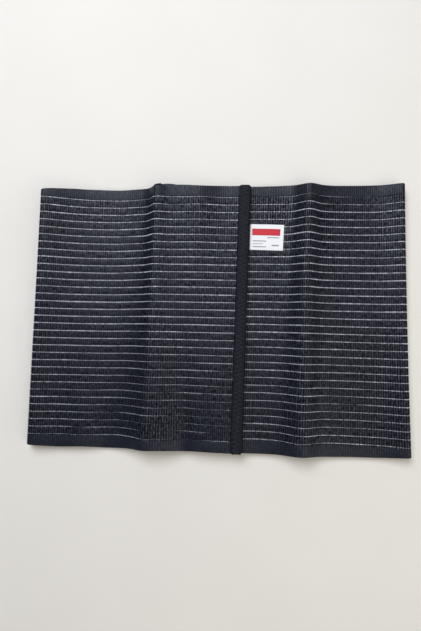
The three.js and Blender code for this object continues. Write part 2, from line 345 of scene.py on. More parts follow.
@dataclass
class WrapPath:
    """The way that the web takes, from its outer end round to its inner end."""

    stations: tuple[Station, ...] = STATIONS
    height: float = 260.0
    border: float = 9.9  # the plain strip along the top and bottom edges
    rest: float = 0.7  # the middle of the wall where it lies on the table
    steps_per_station: int = 40

    def __post_init__(self) -> None:
        """Sets out the stations' columns, with one more past each end, and measures the middle line."""
        rows = np.array([[s.x_top, s.x_bottom, s.z_top, s.z_middle, s.z_bottom,
                          s.shift_top, s.shift_bottom, s.draw_top, s.draw_bottom] for s in self.stations])
        self.columns = np.vstack([2 * rows[0] - rows[1], rows, 2 * rows[-1] - rows[-2]])
        last = len(rows) - 1
        self.places = np.linspace(0, last, last * self.steps_per_station + 1)
        middle, _ = self.frames(np.full_like(self.places, 0.5), self.places)
        steps = np.linalg.norm(np.diff(middle, axis=0), axis=-1)
        self.lengths = np.concatenate([[0], np.cumsum(steps)])

    @property
    def length(self) -> float:
        """The web's length along its middle line."""
        return float(self.lengths[-1])

    def number(self, name: str) -> int:
        """The number of a named station, counted from the outer end."""
        return [station.name for station in self.stations].index(name)

    def length_to(self, name: str) -> float:
        """The length along the middle line from the outer end to a named station."""
        return float(self.lengths[self.number(name) * self.steps_per_station])

    def place(self, length: np.ndarray) -> np.ndarray:
        """Turns lengths from the outer end into places, which count stations."""
        return np.interp(length, self.lengths, self.places)

    def control(self, number: np.ndarray, fraction: np.ndarray) -> np.ndarray:
        """Works out where stations lie at fractions of the web's height.

        Within a border the fraction moves inwards, most at the edge itself. x and shift then run straight
        from bottom to top, and z has a parabola's bend through its middle value.

        Args:
            number: station numbers, where 0 is the one past the outer end.
            fraction: fractions of the height, 0 at the bottom edge and 1 at the top edge, of the same shape.

        Returns:
            Points, with one more dimension than `number`.
        """
        (x_top, x_bottom, z_top, z_middle, z_bottom, shift_top, shift_bottom,
         draw_top, draw_bottom) = np.moveaxis(self.columns[number], -1, 0)
        near_bottom = np.maximum(0, 1 - fraction * self.height / self.border)
        near_top = np.maximum(0, 1 - (1 - fraction) * self.height / self.border)
        t = fraction + (draw_bottom * near_bottom - draw_top * near_top) / self.height
        bend = 2 * (z_top + z_bottom - 2 * z_middle)
        x = x_bottom + (x_top - x_bottom) * t
        y = (t - 0.5) * self.height + shift_bottom + (shift_top - shift_bottom) * t
        z = z_bottom + (z_top - z_bottom) * t - bend * t * (1 - t)
        return np.stack([x, y, z], -1)

    def frames(self, t: np.ndarray, place: np.ndarray) -> tuple[np.ndarray, np.ndarray]:
        """Works out points of the web's middle surface and the directions that face out of the loop.

        Between stations the web follows a centripetal Catmull-Rom curve: a cubic through both stations whose
        slopes weigh the neighbours by the square root of their distance. Where that would dip into the table
        the web lies flat. The outward direction is the curve's own direction, turned a quarter in the plane
        square to Y.

        Args:
            t: fractions of the web's height.
            place: places along it, which count stations from the outer end, of the same shape.

        Returns:
            Points and unit directions, both with one more dimension.
        """
        row = np.clip(np.floor(place).astype(int), 0, len(self.stations) - 2)
        w = (place - row)[..., None]
        p0, p1, p2, p3 = (self.control(row + k, t) for k in range(4))
        d0, d1, d2 = (np.sqrt(np.linalg.norm(b - a, axis=-1, keepdims=True))
                      for a, b in ((p0, p1), (p1, p2), (p2, p3)))
        slope1 = ((p1 - p0) / d0 - (p2 - p0) / (d0 + d1) + (p2 - p1) / d1) * d1
        slope2 = ((p2 - p1) / d1 - (p3 - p1) / (d1 + d2) + (p3 - p2) / d2) * d1
        square = -3 * p1 + 3 * p2 - 2 * slope1 - slope2
        cube = 2 * p1 - 2 * p2 + slope1 + slope2
        points = p1 + slope1 * w + square * w ** 2 + cube * w ** 3
        along = slope1 + 2 * square * w + 3 * cube * w ** 2
        lies = points[..., 2] <= self.rest
        points[..., 2] = np.where(lies, self.rest, points[..., 2])
        climb = np.where(lies, 0.0, along[..., 2])
        out = np.stack([climb, np.zeros_like(climb), -along[..., 0]], -1)
        return points, out / np.linalg.norm(out, axis=-1, keepdims=True)


@dataclass(frozen=True)
class ElasticYarn:
    """Covered elastic yarn, woven into dense upright ribs.

    Textured polyester is nearly black. It shows soft crowns with painted shade darkening the furrows between
    them, which also gloss less, no two ribs quite alike, and a cold gleam on the crowns where the cloth faces
    the light.
    """

    rib_pitch: float
    height: float  # of the whole web
    crown: str = "#2c303f"
    # The furrows' colour is painted shade: the dark that falls between the crowns.
    furrow_painted_shade: str = "#040405"
    streak: tuple[float, float] = (1.7, 3.4)  # how far the tone keeps along the web and up a rib
    streak_detail: float = 3.0
    streak_span: tuple[float, float] = (0.3, 0.7)  # the part of the noise that the tones spread over
    strand_pitch: float = 0.62  # the real twist is about half of this, which would not show
    strand_wobble: float = 1.5
    strand_detail: float = 1.0
    strand_detail_scale: float = 2.0
    strand_depth: float = 0.05
    strand_strength: float = 0.6
    rib_unevenness: float = 0.85
    # How far the furrows are painted darker as shade, from 0 to 1.
    furrow_shade_strength: float = 0.9
    # In the plain borders the painted furrow shade gives way to one even tone.
    border_level: float = 0.42  # the plain top and bottom edges' tone
    border_softness: float = 0.6  # how far they keep to it
    border: float = 10.5
    roughness: float = 0.4
    specular: float = 0.66

    def material(self) -> bpy.types.Material:
        """Makes the node material: painted shade in the furrows by rib, short streaks of tone, and the yarn's
        twist.

        Returns:
            The material.
        """
        material, tree = new_material("elastic_yarn_woven_ribs")
        cloth = add_node(tree, "UVMap", {"uv_map": CLOTH_UV}).outputs["UV"]
        rib = add_node(tree, "TexWave", BANDS_ALONG_X,
                       {"Vector": cloth, "Scale": wave_scale(self.rib_pitch), "Distortion": 0.0})
        stretch = tuple(1 / (size * MM) for size in self.streak)
        streaked = add_node(tree, "VectorMath", {"operation": "MULTIPLY"}, {0: cloth, 1: (*stretch, 1.0)})
        tone = add_node(tree, "TexNoise", {"noise_dimensions": "2D"},
                        {"Vector": streaked.outputs[0], "Scale": 1.0, "Detail": self.streak_detail})
        lowest, highest = self.streak_span
        level = add_node(tree, "MapRange", None,
                         {"Value": tone.outputs["Fac"], "From Min": lowest, "From Max": highest,
                          "To Min": 1 - self.rib_unevenness, "To Max": 1.0})
        parts = add_node(tree, "SeparateXYZ", None, {"Vector": cloth})
        half = self.height / 2
        centred = add_node(tree, "Math", {"operation": "COMPARE"},
                           {0: parts.outputs["Y"], 1: half * MM, 2: (half - self.border) * MM})
        softness = add_node(tree, "MapRange", None,
                            {"Value": centred.outputs[0], "To Min": self.border_softness, "To Max": 0.0})
        # Painted shade: the colour darkens from each crown into the furrows on either side.
        crest = add_node(tree, "MapRange", None,
                         {"Value": rib.outputs["Fac"], "To Min": 1 - self.furrow_shade_strength})
        shade = add_node(tree, "Math", {"operation": "MULTIPLY"},
                         {0: crest.outputs["Result"], 1: level.outputs["Result"]})
        lit = add_node(tree, "Mix", {"data_type": "FLOAT"},
                       {BLEND_FACTOR: softness.outputs["Result"], BLEND_FIRST: shade.outputs[0],
                        BLEND_SECOND: self.border_level}).outputs[BLEND_RESULT]
        strand = add_node(tree, "TexWave", BANDS_ALONG_Y,
                          {"Vector": cloth, "Scale": wave_scale(self.strand_pitch),
                           "Distortion": self.strand_wobble, "Detail": self.strand_detail,
                           "Detail Scale": self.strand_detail_scale})
        gloss = add_node(tree, "Math", {"operation": "MULTIPLY"}, {0: lit, 1: self.specular})
        relief = {"Height": strand.outputs["Fac"], "Strength": self.strand_strength,
                  "Distance": self.strand_depth * MM}
        finish = {"Roughness": self.roughness, "Specular IOR Level": gloss.outputs[0]}
        end_material(tree, lit, (self.furrow_painted_shade, self.crown), finish, relief)
        return material


@dataclass(frozen=True)
class Thread:
    """A thin thread, spun or drawn: its tone is a little uneven along its length."""

    name: str
    light: str
    dark: str
    fleck: float = 1.6
    fleck_detail: float = 1.0
    fleck_span: tuple[float, float] = (0.35, 0.65)  # the part of the noise that the tones spread over
    depth: float = 0.1
    strength: float = 0.4
    roughness: float = 0.7
    specular: float = 0.25

    def material(self) -> bpy.types.Material:
        """Makes the node material: two tones mixed by flecks of about one thread's twist.

        Returns:
            The material.
        """
        material, tree = new_material(self.name)
        place = add_node(tree, "TexCoord").outputs["Object"]
        noise = add_node(tree, "TexNoise", None,
                         {"Vector": place, "Scale": 1 / (self.fleck * MM), "Detail": self.fleck_detail})
        fleck = noise.outputs["Fac"]
        lowest, highest = self.fleck_span
        tone = add_node(tree, "MapRange", None, {"Value": fleck, "From Min": lowest, "From Max": highest})
        relief = {"Height": fleck, "Strength": self.strength, "Distance": self.depth * MM}
        finish = {"Roughness": self.roughness, "Specular IOR Level": self.specular}
        end_material(tree, tone.outputs["Result"], (self.dark, self.light), finish, relief)
        return material


@dataclass(frozen=True)
class HerringboneTape:
    """Woven polyester binding tape: a coarse herringbone, blue-black and dry, its picks uneven in tone."""

    light: str = "#2b2b38"
    dark: str = "#050508"
    chevron: float = 2.8
    twill_pitch: float = 2.2  # the real twill line is about a third of this, which would not show
    pick: float = 1.5
    pick_detail: float = 1.0
    pick_span: tuple[float, float] = (0.35, 0.65)  # the part of the noise that the tones spread over
    pick_darkest: float = 0.1
    depth: float = 0.2
    strength: float = 0.7
    roughness: float = 0.6
    specular: float = 0.14

    def material(self) -> bpy.types.Material:
        """Makes the node material: slanting twill lines that turn back at every chevron, with dark picks.

        Returns:
            The material.
        """
        material, tree = new_material("polyester_tape_woven_herringbone")
        cloth = add_node(tree, "UVMap", {"uv_map": CLOTH_UV}).outputs["UV"]
        parts = add_node(tree, "SeparateXYZ", None, {"Vector": cloth})
        folded = add_node(tree, "Math", {"operation": "PINGPONG"},
                          {0: parts.outputs["X"], 1: self.chevron * MM})
        slant = add_node(tree, "Math", {"operation": "ADD"}, {0: folded.outputs[0], 1: parts.outputs["Y"]})
        line = add_node(tree, "CombineXYZ", None, {"X": slant.outputs[0]})
        twill = add_node(tree, "TexWave", BANDS_ALONG_X,
                         {"Vector": line.outputs["Vector"], "Scale": wave_scale(self.twill_pitch)})
        picks = add_node(tree, "TexNoise", {"noise_dimensions": "2D"},
                         {"Vector": cloth, "Scale": 1 / (self.pick * MM), "Detail": self.pick_detail})
        lowest, highest = self.pick_span
        tone = add_node(tree, "MapRange", None,
                        {"Value": picks.outputs["Fac"], "From Min": lowest, "From Max": highest,
                         "To Min": self.pick_darkest})
        level = add_node(tree, "Math", {"operation": "MULTIPLY"},
                         {0: twill.outputs["Fac"], 1: tone.outputs["Result"]}).outputs[0]
        relief = {"Height": level, "Strength": self.strength, "Distance": self.depth * MM}
        finish = {"Roughness": self.roughness, "Specular IOR Level": self.specular}
        end_material(tree, level, (self.dark, self.light), finish, relief)
        return material


@dataclass(frozen=True)
class MouldedNylon:
    """Moulded nylon of the hook tape: black, smoother than the cloth, with small soft highlights."""

    light: str = "#1d1d21"
    dark: str = "#111114"
    mottle: float = 6.0
    roughness: float = 0.45
    ior: float = 1.53

    def material(self) -> bpy.types.Material:
        """Makes the node material: two close blacks in soft patches.

        Returns:
            The material.
        """
        material, tree = new_material("nylon_moulded_hooks")
        place = add_node(tree, "TexCoord").outputs["Object"]
        patch = add_node(tree, "TexNoise", None, {"Vector": place, "Scale": 1 / (self.mottle * MM)})
        finish = {"Roughness": self.roughness, "IOR": self.ior}
        end_material(tree, patch.outputs["Fac"], (self.dark, self.light), finish)
        return material


@dataclass(frozen=True)
class LabelSatin:
    """Woven satin of the label and its bars: smooth, its fine cross threads just seen as a soft lustre."""

    name: str
    light: str
    dark: str
    thread_pitch: float = 0.7  # the real thread is about a quarter of this, which would not show
    thread_wobble: float = 0.8
    depth: float = 0.04
    strength: float = 0.5
    roughness: float = 0.5
    specular: float = 0.3

    def material(self) -> bpy.types.Material:
        """Makes the node material: fine cross threads in two close tones.

        Returns:
            The material.
        """
        material, tree = new_material(self.name)
        cloth = add_node(tree, "UVMap", {"uv_map": CLOTH_UV}).outputs["UV"]
        wave = add_node(tree, "TexWave", BANDS_ALONG_Y,
                        {"Vector": cloth, "Scale": wave_scale(self.thread_pitch),
                         "Distortion": self.thread_wobble})
        thread = wave.outputs["Fac"]
        relief = {"Height": thread, "Strength": self.strength, "Distance": self.depth * MM}
        finish = {"Roughness": self.roughness, "Specular IOR Level": self.specular}
        end_material(tree, thread, (self.dark, self.light), finish, relief)
        return material


@dataclass(frozen=True)
class TableTop:
    """Pale laminate of the table: warm white, matt, with barely seen clouds."""

    light: str = "#ede8dc"
    dark: str = "#e6e1d5"
    cloud_size: float = 90.0
    cloud_detail: float = 3.0
    roughness: float = 0.6
    specular: float = 0.15

    def material(self) -> bpy.types.Material:
        """Makes the node material: two close whites in large soft clouds.

        Returns:
            The material.
        """
        material, tree = new_material("laminate_pale_matt")
        place = add_node(tree, "TexCoord").outputs["Object"]
        cloud = add_node(tree, "TexNoise", None,
                         {"Vector": place, "Scale": 1 / (self.cloud_size * MM), "Detail": self.cloud_detail})
        finish = {"Roughness": self.roughness, "Specular IOR Level": self.specular}
        end_material(tree, cloud.outputs["Fac"], (self.dark, self.light), finish)
        return material


WEFT_YARN = Thread("nylon_weft_monofilament_clear", light="#f8f7ff", dark="#a3a2ad", fleck=2.4,
                   roughness=0.4, specular=0.5)
SEWING_THREAD = Thread("polyester_sewing_thread_spun", light="#3a3946", dark="#1f1e28")
LABEL_WHITE = LabelSatin("polyester_satin_woven_white", light="#f6f6f3", dark="#e6e6e3")
LABEL_RED = LabelSatin("polyester_satin_woven_red", light="#d6303a", dark="#b92731")
LABEL_GREY = LabelSatin("polyester_satin_woven_grey", light="#9c9ba1", dark="#86858c")


@dataclass
class ElasticWeb:
    """The openwork web: dense ribbed bands along the whole wrap, and weft threads that cross the gaps."""

    path: WrapPath
    gap_count: int = 33
    gap_pitch: float = 7.4
    gap_width: float = 1.8
    bottom_border: float = 12.4  # from the bottom edge to the middle of the lowest gap
    wall: float = 1.4
    edge_steps: tuple[float, ...] = (0.0, 0.3, 0.75)  # in from a band's edge
    edge_rises: tuple[float, ...] = (0.4, 0.62, 0.7)  # the outside's height over the web's middle there
    rib_pitch: float = 2.05
    steps_per_rib: int = 3
    furrow_depth: float = 0.28
    crown_power: float = 0.6  # below 1 the crowns are broad and the furrows narrow
    spread: float = 0.51  # how far the soft yarn of a band's edge fills the gap from each side
    closing: float = 0.36  # how much further it does so in the lowest gaps under the flap's weight
    closing_from: float = 110.0  # height above the bottom edge where the gaps start to close
    low_shares: tuple[tuple[str, float], ...] = (  # shares of that along the wrap
        ("outer_end", 1.0), ("crest", 1.0), ("left_valley", 0.75), ("left_slope", 0.5),
        ("left_fold_foot", 0.4), ("right_fold_foot", 0.25), ("right_flat", 0.5), ("inner_end", 0.55))
    top_closing: float = 0.5  # how much further it does so in the highest gaps
    top_closing_from: float = 22.0  # distance below the top edge where that starts
    top_shares: tuple[tuple[str, float], ...] = (  # shares of that along the wrap
        ("outer_end", 0.6), ("crest", 0.5), ("left_valley", 0.0), ("left_fold_foot", 0.0),
        ("right_fold_foot", 1.0), ("ridge", 0.8), ("inner_end", 0.6))
    patch_range: tuple[float, float] = (0.75, 1.2)  # how unevenly the gaps close
    scallop: float = 0.14  # how far a band's edge draws back at each furrow
    wander: float = 0.1  # slow drift of a band's edge
    wander_spacing: int = 9  # ribs between the drift's knots
    rib_jitter: float = 0.07
    weft_width: float = 1.8
    weft_thickness: float = 0.44
    weft_slant: float = 0.12
    weft_overlap: float = 0.5
    groups: tuple[tuple[int, int], ...] = ((0, 9), (9, 18), (18, 26), (26, 34))  # bands in each piece
    seed: int = 41

    def __post_init__(self) -> None:
        """Counts the ribs, settles their uneven spacing, and draws the edges' drift."""
        self.ribs = round(self.path.length / self.rib_pitch)
        random = np.random.default_rng(self.seed)
        steps = np.arange(self.ribs * self.steps_per_rib + 1)
        self.count = steps / self.steps_per_rib  # ribs from the outer end
        jitter = random.normal(0, self.rib_jitter, self.ribs + 1)
        jitter[[0, -1]] = 0
        self.jitter = jitter
        self.along = self.length_at(self.count)
        knots = np.arange(0, self.ribs + 2 * self.wander_spacing, self.wander_spacing)
        hats = np.maximum(0, 1 - np.abs(self.count - knots[:, None]) / self.wander_spacing)
        self.drift = random.normal(0, self.wander, (self.gap_count + 1, 2, len(knots))) @ hats
        self.slant = random.normal(0, self.weft_slant, (2, self.gap_count, self.ribs))
        patches = random.uniform(*self.patch_range, (self.gap_count, len(knots)))
        self.shut = self.closed_gaps(patches @ hats)

    def closed_gaps(self, patches: np.ndarray) -> np.ndarray:
        """Works out how far each gap closes along the web.

        It grows from nothing at the starting height to the full closing at the bottom edge, as the root of
        the way down, and in the same way near the top edge, each by its share along the wrap. All of it
        varies in patches.

        Args:
            patches: for each gap and step, a factor about one.

        Returns:
            For each band, its lower and upper edge and each step, how far the edge moves into the gap.
        """
        low = np.sqrt(np.clip(1 - self.gap_middles / self.closing_from, 0, 1))
        high = np.sqrt(np.clip(1 - (self.path.height - self.gap_middles) / self.top_closing_from, 0, 1))
        from_bottom = self.closing * low[:, None] * self.share(self.low_shares)
        from_top = self.top_closing * high[:, None] * self.share(self.top_shares)
        gaps = (from_bottom + from_top) * patches
        none = np.zeros((1, gaps.shape[1]))
        return np.stack([np.concatenate([none, gaps]), np.concatenate([gaps, none])], 1)

    def share(self, shares: tuple[tuple[str, float], ...]) -> np.ndarray:
        """Works out a share at each step along the web, which changes straight from station to station.

        Args:
            shares: station names in order, each with its share.

        Returns:
            The shares, one for each step.
        """
        names, values = zip(*shares)
        return np.interp(self.along, [self.path.length_to(name) for name in names], values)

    def length_at(self, count: np.ndarray) -> np.ndarray:
        """Turns a count of ribs into a length along the web, with the ribs' uneven spacing."""
        even = count * self.path.length / self.ribs
        return even + np.interp(count, np.arange(self.ribs + 1), self.jitter)

    @property
    def gap_middles(self) -> np.ndarray:
        """The heights of the gaps' middles above the bottom edge."""
        return self.bottom_border + self.gap_pitch * np.arange(self.gap_count)

    @property
    def band_edges(self) -> np.ndarray:
        """The lower and upper edge of each band.

        Returns:
            One row for each band, lowest first.
        """
        lower = np.concatenate([[0], self.gap_middles + self.gap_width / 2])
        upper = np.concatenate([self.gap_middles - self.gap_width / 2, [self.path.height]])
        return np.stack([lower, upper], -1)

    def bands(self, first: int, last: int, material: bpy.types.Material) -> bpy.types.Object:
        """Makes some of the bands as one piece.

        A band's section is a ring of eight points: six over its outside, which is rounded at both edges, and
        two along its flat inside. It sinks by the furrow's depth wherever the rib count is whole: the size of
        sin(pi * count), to the crown's power, gives a round crown between two narrow furrows.

        Args:
            first: the lowest band's number.
            last: one more than the highest band's number.
            material: the yarn.

        Returns:
            The piece.
        """
        edges = self.band_edges[first:last]
        crown = np.abs(np.sin(np.pi * self.count)) ** self.crown_power
        inset = self.drift[first:last] + self.scallop * (1 - crown) - self.spread - self.shut[first:last]
        lower = edges[:, :1] + inset[:, 0]
        upper = edges[:, 1:] - inset[:, 1]
        steps_in = np.array(self.edge_steps)[:, None]
        heights = np.concatenate([lower[:, None] + steps_in, upper[:, None] - steps_in[::-1],
                                  upper[:, None], lower[:, None]], 1)
        places = np.broadcast_to(self.path.place(self.along), heights.shape)
        points, out = self.path.frames(heights / self.path.height, places)
        inside = -self.wall / 2
        rise = np.array([*self.edge_rises, *reversed(self.edge_rises), inside, inside])[:, None]
        sunk = np.sign(rise) * self.furrow_depth * (1 - crown) * np.abs(rise) / (self.wall / 2)
        points = points + (rise - sunk)[..., None] * out
        uv = np.stack([np.broadcast_to(self.count * self.rib_pitch, heights.shape), heights], -1)
        index = np.arange(heights[0].size).reshape(heights.shape[1:])
        ends = index[np.array(RING_END)]
        faces = np.concatenate([quads(np.concatenate([index, index[:1]])), ends[..., 0], ends[:, ::-1, -1]])
        faces = repeat_faces(faces, last - first, index.size)
        name = f"elastic_web_bands_{first + 1}_to_{last}"
        piece = make_piece(name, points.reshape(-1, 3), faces, material, uv.reshape(-1, 2))
        return seat(piece, "elastic_web", "elastic_web")

    def weft(self, material: bpy.types.Material) -> bpy.types.Object:
        """Makes the weft threads: at each rib's crown, a short four-sided bar across every gap.

        Args:
            material: the yarn.

        Returns:
            The piece.
        """
        crowns = self.length_at(np.arange(self.ribs) + 0.5)
        reach = self.gap_width / 2 + self.weft_overlap
        side = np.array([-0.5, 0, 0.5, 0]) * self.weft_width
        rise = np.array([0, 0.5, 0, -0.5]) * self.weft_thickness
        ends = self.gap_middles + reach * np.array([-1, 1])[:, None]
        lengths = crowns[:, None] + side + self.slant[..., None]
        heights = np.broadcast_to(ends[..., None, None], lengths.shape)
        points, out = self.path.frames(heights / self.path.height, self.path.place(lengths))
        corners = np.moveaxis(points + rise[:, None] * out, 0, 2)
        ring = np.arange(8).reshape(2, 4)
        walls = quads(np.concatenate([ring, ring[:, :1]], 1))
        faces = np.concatenate([walls, ring[:1], ring[1:, ::-1]])
        faces = repeat_faces(faces, self.gap_count * self.ribs, ring.size)
        piece = make_piece("elastic_web_weft_threads", corners.reshape(-1, 3), faces, material)
        return seat(piece, "elastic_web")

    def build(self) -> list[bpy.types.Object]:
        """Makes the bands and the weft threads.

        Returns:
            The bands' pieces, lowest first.
        """
        yarn = ElasticYarn(self.rib_pitch, self.path.height).material()
        weft = self.weft(WEFT_YARN.material())
        pieces = [self.bands(first, last, yarn) for first, last in self.groups]
        return pieces


class WebEnd(Enum):
    """Which end of the web a binding covers: the stations at the end and at the inner border of its hem."""

    OUTER = ("outer_end", "outer_hem")
    INNER = ("inner_end", "inner_hem")


@dataclass
class EndBinding:
    """A tape folded over one end of the web and sewn through with a zigzag stitch."""

    path: WrapPath
    end: WebEnd
    width: float = 11.2
    tape: float = 0.8
    half: float = 1.8  # from the web's middle to the tape's outside
    nose: float = -1.1  # how far the fold stands past the web's end
    nose_round: float = 1.5
    past_top: float = 1.2
    past_bottom: float = -0.3
    corner_round: float = 1.6
    leg_steps: int = 12
    nose_steps: int = 10
    height_step: float = 1.0
    crown: float = 0.12
    pucker: float = 0.08
    stitch_pitch: float = 4.2
    stitch_low: float = 1.6
    stitch_high: float = 8.2
    stitch_steps: int = 5
    thread_radius: float = 0.24
    thread_sides: int = 6
    thread_sink: float = 0.1

    @property
    def flat_width(self) -> float:
        """The tape's width when it is laid flat, along its outside."""
        return float(np.linalg.norm(np.diff(self.section(0.0), axis=0), axis=-1).sum())

    def hem_frames(self, heights: np.ndarray) -> tuple[np.ndarray, np.ndarray, np.ndarray]:
        """Works out the web's end and the two directions that the tape's section lies in.

        Args:
            heights: heights above the web's bottom edge.

        Returns:
            The end's points, the directions back along the hem and the directions out of the loop.
        """
        end, hem = (self.path.number(name) for name in self.end.value)
        t = heights / self.path.height
        points, _ = self.path.frames(t, np.full_like(t, end))
        inside, _ = self.path.frames(t, np.full_like(t, hem))
        back = (inside - points) * np.array([1, 0, 1])
        back /= np.linalg.norm(back, axis=-1, keepdims=True)
        turn = 1 if hem > end else -1
        out = turn * np.stack([back[:, 2], 0 * t, -back[:, 0]], -1)
        return points, back, out

    def bulge(self, reach: np.ndarray, heights: np.ndarray) -> np.ndarray:
        """Works out how far the tape stands proud: a sine across its width, drawn in and out at each stitch.

        Args:
            reach: distances back from the web's end.
            heights: heights above its bottom edge.

        Returns:
            The distances that it stands proud.
        """
        across = np.clip((reach - self.nose) / self.width, 0, 1)
        gather = self.pucker * np.cos(2 * np.pi * heights / self.stitch_pitch)
        return np.sin(np.pi * across) * (self.crown + gather)

    def section(self, inset: float) -> np.ndarray:
        """Sets out one side of the folded tape: a straight leg, half an ellipse round the fold, another leg.

        Args:
            inset: how far inside the tape's outside this side lies.

        Returns:
            Rows of reach back from the web's end and rise out of the loop.
        """
        centre = self.nose + self.nose_round
        leg = np.linspace(self.nose + self.width, centre, self.leg_steps)
        angle = np.linspace(0.5 * np.pi, 1.5 * np.pi, self.nose_steps)[1:-1]
        high = self.half - inset
        reach = np.concatenate([leg, centre + (self.nose_round - inset) * np.cos(angle), leg[::-1]])
        rise = np.concatenate([np.full_like(leg, high), high * np.sin(angle), np.full_like(leg, -high)])
        return np.stack([reach, rise], -1)

    def tape_piece(self, name: str, material: bpy.types.Material) -> bpy.types.Object:
        """Carries the section up the web's end, with its corners rounded at the two cut ends.

        Args:
            name: the CAD node that it stands for.
            material: the tape's finish.

        Returns:
            The piece.
        """
        low, high = -self.past_bottom, self.path.height + self.past_top
        heights = np.linspace(low, high, round((high - low) / self.height_step) + 1)
        points, back, out = self.hem_frames(heights)
        from_end = np.clip(np.minimum(heights - low, high - heights), 0, self.corner_round)
        drawn_in = self.corner_round - np.sqrt(self.corner_round ** 2 - (self.corner_round - from_end) ** 2)
        narrowing = 1 - drawn_in / (self.width / 2)
        middle = self.nose + self.width / 2
        sides = []
        for inset in (0.0, self.tape):
            reach, rise = (column[:, None] for column in self.section(inset).T)
            proud = self.bulge(reach, heights) * np.sign(rise)
            place = middle + (reach - middle) * narrowing
            sides.append(points + place[..., None] * back + (rise + proud)[..., None] * out)
        both = np.stack(sides)
        steps = np.linalg.norm(np.diff(self.section(0.0), axis=0), axis=-1)
        across = np.broadcast_to(np.concatenate([[0], np.cumsum(steps)])[:, None], both.shape[1:3])
        flat = np.stack([across, np.broadcast_to(heights, across.shape)], -1)
        faces, border = slab_faces(*across.shape)
        uv = np.stack([flat, flat]).reshape(-1, 2)
        piece = make_piece(name + "_tape", both.reshape(-1, 3), faces, material, uv, border)
        return seat(piece, "binding_tape", name)

    def stitch_piece(self, name: str, material: bpy.types.Material) -> bpy.types.Object:
        """Lays a zigzag thread on each face: reach is a triangle wave of height, and rise dips at each turn.

        Args:
            name: the piece's name.
            material: the thread's finish.

        Returns:
            The piece.
        """
        turns = round(2 * self.path.height / self.stitch_pitch)
        step = np.arange(turns * self.stitch_steps + 1) / self.stitch_steps
        heights = step * self.path.height / turns
        swing = np.abs(step % 2 - 1)
        reach = self.stitch_low + (self.stitch_high - self.stitch_low) * swing
        points, back, out = self.hem_frames(heights)
        lift = self.bulge(reach, heights) + self.half
        rise = lift - self.thread_sink + 2.0 * self.thread_sink * np.sin(np.pi * (step % 1)) ** 0.5
        line = points + reach[:, None] * back
        paths = np.stack([line + rise[:, None] * out, line - rise[:, None] * out])
        tube_points, faces = tubes(paths, np.stack([out, -out]), self.thread_radius, self.thread_sides)
        piece = make_piece(name + "_stitching", tube_points, faces, material)
        return seat(piece, "binding_tape")

    def build(self) -> bpy.types.Object:
        """Makes the tape and its stitching, and works out how large the flat tape is.

        Returns:
            The tape.
        """
        name = f"{self.end.value[0]}_binding"
        tape = self.tape_piece(name, HerringboneTape().material())
        stitches = self.stitch_piece(name, SEWING_THREAD.material())
        flat = (self.flat_width * MM, (self.path.height + self.past_top + self.past_bottom) * MM)
        return tape


@dataclass
class HookTape:
    """The fastener under the outer end: a narrow nylon tape with rows of small moulded hooks."""

    path: WrapPath
    near: float = -2.1  # the tape's back, against the binding's inner leg
    base: float = 0.5
    hook_reach: float = 0.7
    hook_curl: float = 0.4
    hook_turn: float = 0.75 * np.pi
    hook_drop: float = 0.3  # how fast its tip comes back, as a share of its reach
    hook_radius: float = 0.11
    hook_sides: int = 4
    margin: float = 8.0
    side_margin: float = 0.06  # of the hem's width
    row_pitch: float = 1.3
    rows: int = 6
    row_span: tuple[float, float] = (0.14, 0.93)  # of the hem's width
    hook_steps: int = 5
    height_points: int = 123
    width_points: int = 5

    def surface(self, heights: np.ndarray, along: np.ndarray, offset: np.ndarray) -> np.ndarray:
        """Works out points at heights, fractions of the hem's width and offsets out of the loop."""
        points, out = self.path.frames(heights / self.path.height, along)
        return points + offset[..., None] * out

    def build(self) -> bpy.types.Object:
        """Makes the tape and its hooks as one piece.

        The tape is a thin slab between two offsets from the web. A hook follows an angle past a quarter turn:
        it goes out by the angle's sine, leans by one less its cosine, and past the quarter comes back evenly.

        Returns:
            The piece.
        """
        low, high = self.margin, self.path.height - self.margin
        heights, along = np.meshgrid(np.linspace(low, high, self.height_points),
                                     np.linspace(self.side_margin, 1, self.width_points), indexing="ij")
        sides = [self.surface(heights, along, np.full_like(heights, offset))
                 for offset in (self.near, self.near - self.base)]
        base_points = np.stack(sides).reshape(-1, 3)
        base_faces, border = slab_faces(*heights.shape)
        count = int((high - low) / self.row_pitch) - 1
        hook_heights = low + self.row_pitch * (np.arange(count) + 1)
        columns = np.linspace(*self.row_span, self.rows)
        grid = np.meshgrid(hook_heights, columns, indexing="ij")
        grid_heights, grid_along = (side.reshape(-1, 1) for side in grid)
        angle = np.linspace(0, self.hook_turn, self.hook_steps)
        climb = self.near - self.base - self.hook_reach * np.sin(np.minimum(angle, np.pi / 2))
        drop = self.hook_drop * self.hook_reach * np.maximum(0, angle - np.pi / 2)
        lean = self.hook_curl * (1 - np.cos(angle))
        shape = (len(grid_heights), self.hook_steps)
        paths = self.surface(grid_heights + np.broadcast_to(lean, shape), np.broadcast_to(grid_along, shape),
                             np.broadcast_to(climb + drop, shape))
        hook_points, hook_faces = tubes(paths, np.array([1.0, 0.0, 0.0]), self.hook_radius, self.hook_sides)
        points = np.concatenate([base_points, hook_points])
        base_faces = outward(base_points, base_faces)
        hook_faces = outward(hook_points, hook_faces) + len(base_points)
        sharp = np.concatenate([border, np.zeros(len(hook_faces), bool)])
        piece = make_piece("hook_tape_hooks", points, np.concatenate([base_faces, hook_faces]),
                           MouldedNylon().material(), None, sharp)
        return seat(piece, "hook_tape", "hook_tape")


class BarColour(Enum):
    """The two yarns of the label's plain woven bars."""

    RED = LABEL_RED
    GREY = LABEL_GREY


@dataclass(frozen=True)
class LabelBar:
    """A plain woven bar on the label, measured from the label's lower left corner."""

    name: str
    colour: BarColour
    left: float
    right: float
    bottom: float
    top: float


